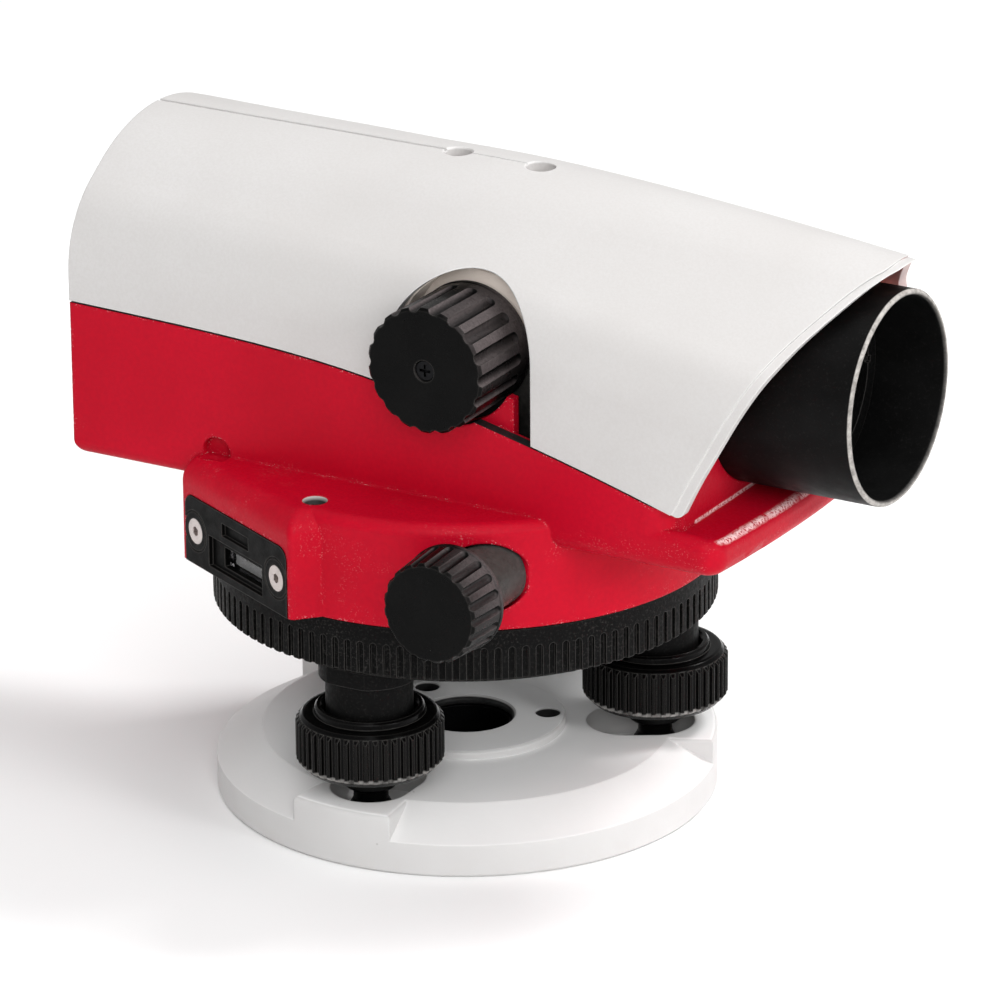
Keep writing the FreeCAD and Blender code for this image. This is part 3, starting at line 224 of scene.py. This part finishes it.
# ---- materials ---------------------------------------------------------------------------------
def pale_cover():
    """Cover: fine-textured satin plastic, hardly marked, with light scuffs on its edges, and a painted red
    reflection of the casting on its inside surfaces near the front.
    """
    look = Look("pale_cover", Specular_IOR_Level=0.22)
    base = look.mottled(38 * MM, (0.530, 0.514, 0.505, 1), (0.568, 0.556, 0.550, 1), 2.0)
    fine = look.span(look.noise(0.5 * MM, 2.0), 0.35, 0.65, 0.0, 0.35)
    base = look.blend(fine, base, (0.495, 0.475, 0.462, 1))
    specks = look.span(look.cells(5.5 * MM), 0.045, 0.02)
    rare = look.span(look.noise(14 * MM, 1.0), 0.62, 0.7, 0.0, 0.35)
    base = look.blend(look.all_of(specks, rare), base, (0.42, 0.40, 0.36, 1))
    base = look.blend(look.all_of(look.edges(0.5 * MM), 0.6), base, (0.82, 0.82, 0.81, 1))
    # Painted reflection: inside surfaces forward of x 58–64 mm are tinted red, standing in for light bounced
    # off the red casting.
    facing = look.add("ShaderNodeSeparateXYZ")
    look.feed(facing.inputs["Vector"], look.outward)
    inward = look.all_of(look.math("SIGN", look.axis("Y")), facing.outputs["Y"])
    inward = look.span(inward, -0.05, -0.25)
    far_edge = look.all_of(look.span(facing.outputs["Z"], 0.45, 0.35, 0.0, 0.4),
                           look.span(facing.outputs["Y"], 0.3, 0.2), look.along("Y", 0.0, 1.0))
    bounce_mask = look.all_of(look.any_of(inward, far_edge), look.along("X", *cover_inner_x))
    painted_red_bounce = look.mottled(6 * MM, (0.62, 0.17, 0.14, 1), (0.70, 0.26, 0.21, 1))
    look.colour(look.blend(bounce_mask, base, painted_red_bounce))
    look.patchy(9 * MM, 0.40, 0.50, 3.0)
    look.normal(look.relief(look.noise(0.32 * MM, 2.0), 0.03 * MM, 0.5, look.soft_normal(0.35 * MM)))
    return look.material


def pocket_beige():
    """Pocket behind the focus knob: same plastic, yellowed and a little dusty in blotches; its tone is
    painted much lighter than the cover's to make up for the shade it sits in, and it turns near-black below
    about z 97–98.6 mm.
    """
    look = Look("pocket_beige", Specular_IOR_Level=0.2)
    # Painted light: much lighter than the cover's same plastic, to make up for the shade the pocket sits in.
    base = look.mottled(12 * MM, (0.80, 0.70, 0.62, 1), (0.86, 0.77, 0.70, 1))
    grime = look.span(look.noise(2.0 * MM, 5.0, 0.7), 0.55, 0.8, 0.0, 0.4)
    base = look.blend(grime, base, (0.50, 0.40, 0.34, 1))
    # Near-black towards the bottom, below about z 97–98.6 mm.
    dark_lower = look.mottled(1.0 * MM, grey(0.012, 0.05), grey(0.03, 0.08))
    look.colour(look.blend(look.along("Z", *pocket_dark_z), base, dark_lower))
    look.patchy(3 * MM, 0.42, 0.55, 3.0)
    look.normal(look.relief(look.noise(0.4 * MM, 2.0), 0.03 * MM, 0.4, look.soft_normal(0.2 * MM)))
    return look.material


def pale_base():
    """Base plate: off-white stove enamel over a casting, with dust and small chips; its up-facing surfaces
    are painted lighter than its sides as painted light, and the holes near the centre are painted dark as
    painted shade.
    """
    look = Look("pale_base", Specular_IOR_Level=0.35)
    base = look.mottled(30 * MM, (0.565, 0.555, 0.55, 1), (0.605, 0.60, 0.595, 1))
    # Painted light: up-facing surfaces get a much lighter copy of the enamel than the sides.
    painted_lit_top = look.mottled(20 * MM, (0.91, 0.905, 0.90, 1), (0.95, 0.945, 0.94, 1))
    base = look.blend(look.facing((0.0, 0.0, 1.0), 0.80, 0.95), base, painted_lit_top)
    film = look.all_of(look.along("Z", 6, 0, 0.0, 0.3), look.span(look.noise(6 * MM, 5.0, 0.7), 0.45, 0.75))
    base = look.blend(film, base, (0.52, 0.49, 0.46, 1))
    specks = look.all_of(look.span(look.cells(4.5 * MM), 0.06, 0.03),
                         look.span(look.noise(12 * MM, 1.0), 0.6, 0.68, 0.0, 0.5))
    base = look.blend(specks, base, (0.25, 0.24, 0.22, 1))
    base = look.blend(look.all_of(look.edges(0.5 * MM), 0.4), base, (0.92, 0.92, 0.91, 1))
    # Painted shade: near-black within 18 mm of the centre, between z 4 and 12.5 mm, in the holes.
    holes = look.all_of(look.within({"X": 0.0, "Y": 0.0}, *base_hole_radius),
                        look.along("Z", *base_hole_bottom), look.along("Z", *base_hole_top))
    look.colour(look.blend(holes, base, look.mottled(1.0 * MM, grey(0.015), grey(0.03))))
    look.patchy(5 * MM, 0.30, 0.42, 3.0)
    peel = look.noise(0.9 * MM, 2.0)
    look.normal(look.relief(peel, 0.05 * MM, 0.4, look.soft_normal(0.5 * MM)))
    return look.material


def red_coat():
    """Red casting: powder coat with orange peel; pale specks painted as glints on rims, ledges and the
    housing top, painted highlights along the chin's front edge and the shelf crease, painted shade in the
    screw countersink, and a near-black band on the step beside the cover.
    """
    look = Look("red_coat", Specular_IOR_Level=0.08)
    base = look.mottled(25 * MM, (0.43, 0.0018, 0.014, 1), (0.50, 0.0025, 0.018, 1))
    shade = look.span(look.noise(0.9 * MM, 3.0), 0.35, 0.65, 0.0, 0.35)
    base = look.blend(shade, base, (0.34, 0.002, 0.015, 1))
    # Painted highlights: pale pink specks stand in for glints on edges and the housing top; painted highlight
    # bands run along the chin's front edge and the shelf crease line.
    painted_glints = look.span(look.noise(0.34 * MM, 2.0, 0.6), 0.60, 0.66)
    painted_highlight_mask = look.all_of(look.edges(1.6 * MM, 3.0), look.span(look.noise(4 * MM, 3.0), 0.40, 0.62))
    top_glints = look.all_of(look.along("Z", *housing_top_z),
                         look.span(look.noise(9 * MM, 2.0), 0.55, 0.78, 0.0, 0.18))
    lip_highlight = look.all_of(look.facing((0.62, 0.0, 0.78), 0.92, 0.985), look.along("X", *lip_x),
                      look.span(look.noise(3 * MM, 3.0), 0.34, 0.54, 0.30, 1.0))
    seam_highlight = look.all_of(look.along("Z", *seam_z[0]), look.along("Z", *seam_z[1]),
                       look.along("X", *seam_x[0]), look.along("X", *seam_x[1], 0.0, 0.8),
                       look.aside("Y", *seam_side))
    highlight_lines = look.any_of(lip_highlight, seam_highlight)
    broad = look.span(look.noise(0.5 * MM, 3.0, 0.7), 0.38, 0.52)
    painted_glints = look.any_of(look.all_of(painted_glints, look.any_of(painted_highlight_mask, top_glints, highlight_lines)), look.all_of(highlight_lines, broad))
    base = look.blend(painted_glints, base, (0.92, 0.62, 0.62, 1))
    # Near-black band on up-facing surfaces outside |y| 29.3 mm, behind x 62 mm and above z 73 mm, beside the
    # cover.
    step_band = look.all_of(look.facing((0.0, 0.0, 1.0), 0.75, 0.85), look.along("X", *step_band_x),
                       look.along("Z", *step_band_z), look.aside("Y", *step_band_side))
    base = look.blend(step_band, base, look.blend(look.noise(1.5 * MM), grey(0.010), grey(0.03)))
    # Painted shade: the screw countersink goes near-black towards its bottom and grey at its rim.
    sink = look.all_of(look.within(sink_centre, *sink_radius), look.along("Z", *sink_top_z))
    shade = look.blend(look.along("Z", *sink_shade_z), grey(0.03, 0.05), grey(0.42, 0.05))
    base = look.blend(sink, base, shade)
    look.colour(base)
    look.roughness(look.span(look.noise(0.5 * MM, 3.0), 0.35, 0.65, 0.34, 0.52))
    peel = look.noise(0.55 * MM, 3.0, 0.6)
    height = look.math("ADD", peel, look.math("MULTIPLY", look.noise(2.4 * MM, 2.0), 1.2))
    look.normal(look.relief(height, 0.05 * MM, 0.4, look.soft_normal(0.6 * MM)))
    return look.material


def black_plastic(name, tone, gloss, grain, worn=0.25, shine=0.16):
    """Moulded black plastic: tone, mean roughness, grain depth, edge wear and reflectance."""
    look = Look(name, Specular_IOR_Level=shine)
    base = look.mottled(7 * MM, grey(tone * 0.7), grey(tone * 1.3, 0.03))
    fleck = look.span(look.noise(0.4 * MM, 2.0), 0.60, 0.72, 0.0, 0.35)
    base = look.blend(fleck, base, grey(tone * 4.0, 0.04))
    base = look.blend(look.all_of(look.edges(0.45 * MM, 3.0), worn), base, grey(0.11, 0.06))
    dust = look.all_of(look.span(look.noise(1.1 * MM, 5.0, 0.7), 0.62, 0.8),
                       look.span(look.noise(11 * MM, 2.0), 0.45, 0.65, 0.0, 0.15))
    base = look.blend(dust, base, grey(0.08, 0.05))
    look.colour(base)
    look.patchy(2.0 * MM, gloss * 0.75, gloss * 1.3)
    look.normal(look.relief(look.noise(0.28 * MM, 2.0), 0.03 * MM, grain, look.soft_normal(0.25 * MM)))
    return look


def speckled_black(name, tone, fleck, gloss=0.5, dense=0.55):
    """Coarse black paint or anodising with fine grey flecks."""
    look = Look(name, Specular_IOR_Level=0.06)
    flecks = look.span(look.noise(0.45 * MM, 3.0, 0.7), dense, dense + 0.16)
    wide = look.span(look.noise(12 * MM), 0.35, 0.7, 0.35, 1.0)
    base = look.blend(look.all_of(flecks, wide), grey(tone), grey(fleck, 0.06))
    look.colour(look.blend(look.all_of(look.edges(0.3 * MM), 0.45), base, grey(0.12, 0.05)))
    look.patchy(0.8 * MM, gloss * 0.8, gloss * 1.25, 3.0)
    look.normal(look.relief(look.noise(0.35 * MM, 3.0), 0.05 * MM, 0.6, look.soft_normal(0.25 * MM)))
    return look.material


def worn_hood():
    """Hood: matte black outside and inside, its rim worn through to grey metal."""
    look = Look("hood_black", Specular_IOR_Level=0.06)
    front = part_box("objective_hood")[1].x / MM
    base = look.mottled(9 * MM, grey(0.0025), grey(0.005))
    flecks = look.span(look.noise(0.5 * MM, 3.0, 0.7), 0.56, 0.74, 0.0, 0.5)
    base = look.blend(flecks, base, grey(0.02, 0.05))
    rim = look.all_of(look.along("X", front - 0.50, front - 0.35),
                      look.within({"Y": 0.0, "Z": hood_axis_z * MM}, *hood_rim_radii, 0.12, 1.0),
                      look.span(look.noise(1.4 * MM, 4.0, 0.7), 0.30, 0.60, 0.40, 1.0))
    look.colour(look.blend(rim, base, grey(0.40, 0.06)))
    look.patchy(3 * MM, 0.40, 0.55)
    rings = look.noise(0.3 * MM, 2.0, vector=look.stretched((6.0, 1.0, 1.0)))
    look.normal(look.relief(rings, 0.02 * MM, 0.4, look.soft_normal(0.25 * MM)))
    return look.material


def machined(name, tint, gloss, stretch=(1.0, 1.0, 8.0), tarnish=0.3):
    """Bare turned metal with fine tool lines along the chosen axis and a patchy tarnish."""
    look = Look(name, Metallic=1.0)
    dark = tuple(channel * 0.45 for channel in tint) + (1.0,)
    patches = look.span(look.noise(3.5 * MM, 4.0), 0.45, 0.7, 0.0, tarnish)
    look.colour(look.blend(patches, tuple(tint) + (1.0,), dark))
    lines = look.noise(0.7 * MM, 3.0, vector=look.stretched(stretch))
    look.roughness(look.span(lines, 0.3, 0.7, gloss * 0.7, gloss * 1.4))
    look.normal(look.relief(lines, 0.02 * MM, 0.5, look.soft_normal(0.15 * MM)))
    return look.material


def foot_screw_brass():
    """Brass foot screw, bright on top and painted near-black below z 13 mm as painted shade under the knob.
    """
    look = Look("foot_screw_brass", Metallic=0.9)
    patches = look.span(look.noise(3.0 * MM, 4.0), 0.4, 0.7, 0.0, 0.6)
    base = look.blend(patches, (0.50, 0.30, 0.11, 1), (0.20, 0.11, 0.04, 1))
    # Painted shade: near-black below z 13 mm.
    look.colour(look.blend(look.along("Z", *stem_painted_shade_z), base, (0.006, 0.006, 0.006, 1)))
    lines = look.noise(0.6 * MM, 3.0, vector=look.stretched((1.0, 1.0, 8.0)))
    look.roughness(look.span(lines, 0.3, 0.7, 0.28, 0.5))
    look.normal(look.relief(lines, 0.02 * MM, 0.5, look.soft_normal(0.15 * MM)))
    return look.material


def clear_glass(name, tint):
    """Polished glass with a faint film of dust."""
    look = Look(name, Transmission_Weight=1.0, IOR=1.5)
    film = look.span(look.noise(4 * MM, 4.0), 0.5, 0.8, 0.0, 0.10)
    look.colour(look.blend(film, tint, grey(0.8)))
    look.roughness(look.span(look.noise(2 * MM, 4.0), 0.5, 0.8, 0.01, 0.06))
    return look.material


def mirror_glass():
    """Silvered mirror, slightly dusty."""
    look = Look("mirror_glass", Metallic=1.0)
    look.colour(look.blend(look.span(look.noise(3 * MM, 4.0), 0.5, 0.8, 0.0, 0.3), grey(0.88), grey(0.55)))
    look.roughness(look.span(look.noise(1.5 * MM, 4.0), 0.4, 0.8, 0.03, 0.16))
    return look.material


def painted_flute_sheen(look, knob):
    """Base colour of a fluted knob whose outer ridges get a painted grey sheen on the side facing up and
    forward, standing in for light.
    """
    low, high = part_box(knob)
    radius = (high.x - low.x) / 2 / MM
    centre = {"X": (low.x + high.x) / 2, "Z": (low.z + high.z) / 2}
    # Painted highlight: grey sheen on the outer ridges that face up and forward.
    painted_highlight_mask = look.all_of(look.within(centre, radius - 0.75, radius - 0.25, 0.25, 1.0),
                         look.facing((0.80, -0.05, 0.60), 0.62, 1.0),
                         look.span(look.noise(0.45 * MM, 4.0, 0.7), 0.25, 0.75, 0.35, 1.0))
    return look.blend(painted_highlight_mask, look.base_colour(), (0.105, 0.088, 0.088, 1))


def focus_knob_black():
    """Fluted focus knob, satin black, with a painted sheen on its ridges."""
    look = black_plastic("focus_knob_black", 0.002, 0.30, 0.5, 0.35, 0.06)
    look.colour(painted_flute_sheen(look, "focus_knob"))
    return look


def drive_knob_black():
    """Fluted drive knob, satin black, with a painted sheen on its ridges and the smooth grey hub behind it.
    """
    look = black_plastic("drive_knob_black", 0.002, 0.30, 0.5, 0.35, 0.06)
    satin = look.mottled(1.2 * MM, grey(0.035, 0.05), grey(0.055, 0.06), 4.0)
    look.colour(look.blend(look.aside("Y", *knob_hub_y), painted_flute_sheen(look, "drive_knob_right"), satin))
    return look


def foot_knob_black():
    """Foot knob, glossy black, with painted glints on its rib ends at the lower rim."""
    look = black_plastic("foot_knob_black", 0.0015, 0.18, 0.25, 0.45, 0.07)
    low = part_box("foot_knob_right")[0].z / MM
    # Painted highlight: grey dots in a band 1–1.4 mm above the knob bottom.
    painted_rib_glints = look.all_of(look.along("Z", low + 0.8, low + 1.0), look.along("Z", low + 1.7, low + 1.4),
                       look.span(look.noise(2.5 * MM, 2.0), 0.35, 0.65, 0.2, 0.9))
    look.colour(look.blend(painted_rib_glints, look.base_colour(), grey(0.30, 0.04)))
    return look


finishes = {
    "cover": pale_cover(),
    "pocket": pocket_beige(),
    "base": pale_base(),
    "red": red_coat(),
    "foot_knob": foot_knob_black().material,
    "drive_knob": drive_knob_black().material,
    "focus_knob": focus_knob_black().material,
    "frame": black_plastic("frame_black", 0.002, 0.42, 0.9, 0.5, 0.05).material,
    "rubber": black_plastic("rubber_black", 0.005, 0.62, 0.9, 0.1, 0.08).material,
    "ring": speckled_black("ring_black", 0.0025, 0.030, 0.5, 0.53),
    "dish": speckled_black("dish_black", 0.003, 0.014, 0.5),
    "hood": worn_hood(),
    "foot_screw": foot_screw_brass(),
    "brass": machined("brass_turned", (0.52, 0.33, 0.12), 0.32),
    "bronze": machined("bronze_turned", (0.42, 0.27, 0.13), 0.38),
    "steel": machined("steel_turned", (0.56, 0.55, 0.54), 0.26),
    "dark_steel": machined("steel_black", (0.015, 0.015, 0.016), 0.40, (1.0, 1.0, 6.0)),
    "screw": machined("screw_worn", (0.62, 0.56, 0.54), 0.42, (3.0, 3.0, 3.0)),
    "dull_screw": machined("screw_dull", (0.13, 0.115, 0.11), 0.5, (3.0, 3.0, 3.0)),
    "aluminium": machined("aluminium_turned", (0.66, 0.67, 0.68), 0.34),
    "lens": clear_glass("lens_glass", (0.80, 0.86, 0.85, 1)),
    "window": clear_glass("window_glass", (0.28, 0.27, 0.28, 1)),
    "fluid": clear_glass("level_fluid", (0.70, 0.88, 0.30, 1)),
    "mirror": mirror_glass(),
}

wearers = {
    "cover": ["cover_shell"],
    "pocket": ["focus_boss"],
    "base": ["base_plate"],
    "red": ["body_casting"],
    "foot_knob": ["foot_knob_right", "foot_knob_front", "foot_knob_rear"],
    "drive_knob": ["drive_knob_right", "drive_knob_left"],
    "focus_knob": ["focus_knob"],
    "frame": ["window_frame", "dioptre_ring", "level_hood"],
    "rubber": ["eyecup"],
    "ring": ["circle_ring"],
    "dish": ["tribrach", "foot_sleeves", "retaining_ring", "eyepiece_tube"],
    "hood": ["objective_hood"],
    "foot_screw": ["foot_stem_right", "foot_stem_front", "foot_stem_rear"],
    "brass": ["spring_screws", "worm_wheel", "lens_carriage", "reticle_ring", "level_cup"],
    "bronze": ["drive_bushes", "head_bearing", "focus_bush"],
    "steel": ["spring_plate", "vertical_spindle", "spindle_nut", "clutch_spring", "worm_shaft", "focus_shaft",
              "suspension_tapes"],
    "dark_steel": ["tripod_bush", "focus_screw"],
    "screw": ["cover_screws", "window_screws", "reticle_screw"],
    "dull_screw": ["housing_screw"],
    "aluminium": ["graduated_circle", "telescope_tube", "compensator_frame", "pendulum"],
    "lens": ["crown_lens", "flint_lens", "focusing_lens", "compensator_prism", "eye_lens", "reticle_glass",
             "level_vial"],
    "window": ["window_glass"],
    "fluid": ["level_fluid"],
    "mirror": ["level_mirror"],
}
for finish, names in wearers.items():
    for name in names:
        node = nodes[name]
        node.data.materials.clear()
        node.data.materials.append(finishes[finish])


# ---- stage -------------------------------------------------------------------------------------
def floor():
    """Pale round floor under the base plate."""
    radius = 6.0
    sides = 64
    drop = -0.02 * MM
    mesh = bpy.data.meshes.new("floor")
    turns = [math.tau * i / sides for i in range(sides)]
    corners = [(radius * math.cos(turn), radius * math.sin(turn), drop) for turn in turns]
    mesh.from_pydata(corners, [], [list(range(sides))])
    piece = bpy.data.objects.new("floor", mesh)
    bpy.context.scene.collection.objects.link(piece)
    look = Look("floor_paper", Specular_IOR_Level=0.1)
    look.colour(look.mottled(0.4, grey(0.91), grey(0.93)))
    look.patchy(3 * MM, 0.8, 0.9, 3.0)
    mesh.materials.append(look.material)


def soft_box(name, azimuth, elevation, distance, size, power, target=(0, 0, 0.06)):
    """Square area light at an azimuth and elevation, aimed at the instrument."""
    data = bpy.data.lights.new(name, "AREA")
    data.shape = "SQUARE"
    data.size = size
    data.energy = power
    lamp = bpy.data.objects.new(name, data)
    a, e = math.radians(azimuth), math.radians(elevation)
    way = Vector((math.sin(a) * math.cos(e), -math.cos(a) * math.cos(e), math.sin(e)))
    lamp.location = Vector(target) + way * distance
    lamp.rotation_euler = way.to_track_quat("Z", "Y").to_euler()
    bpy.context.scene.collection.objects.link(lamp)


def studio():
    """Even pale surroundings with four soft boxes."""
    world = bpy.data.worlds.new("studio")
    world.use_nodes = True
    background = world.node_tree.nodes["Background"]
    background.inputs["Color"].default_value = (1.0, 1.0, 1.0, 1)
    background.inputs["Strength"].default_value = 0.50
    bpy.context.scene.world = world
    soft_box("top", 60, 74, 1.3, 0.9, 4.2)
    soft_box("key", 30, 32, 1.5, 0.8, 10.0)
    soft_box("low", 78, 22, 1.3, 0.30, 5.0)
    soft_box("rim", 135, 50, 1.2, 0.30, 9.0)
    bpy.context.scene.view_settings.view_transform = "Standard"


def camera():
    """Long-lens view from the right front and above."""
    azimuth, elevation, roll = (math.radians(angle) for angle in (29.98, 20.98, -0.44))
    distance, lens_mm = 1.2631, 248.7
    aim = Vector((7.4 * MM, 0.0, 56.4 * MM))
    back = Vector((math.sin(azimuth) * math.cos(elevation), -math.cos(azimuth) * math.cos(elevation),
                   math.sin(elevation)))
    level_right = Vector((math.cos(azimuth), math.sin(azimuth), 0.0))
    level_up = back.cross(level_right)
    right = level_right * math.cos(roll) + level_up * math.sin(roll)
    up = level_up * math.cos(roll) - level_right * math.sin(roll)
    data = bpy.data.cameras.new("camera")
    data.lens = lens_mm
    data.sensor_width = 36.0
    data.clip_start = 0.05
    data.clip_end = 50.0
    eye = bpy.data.objects.new("camera", data)
    eye.matrix_world = Matrix((right, up, back)).transposed().to_4x4()
    eye.location = aim + back * distance
    bpy.context.scene.collection.objects.link(eye)
    bpy.context.scene.camera = eye


floor()
studio()
camera()
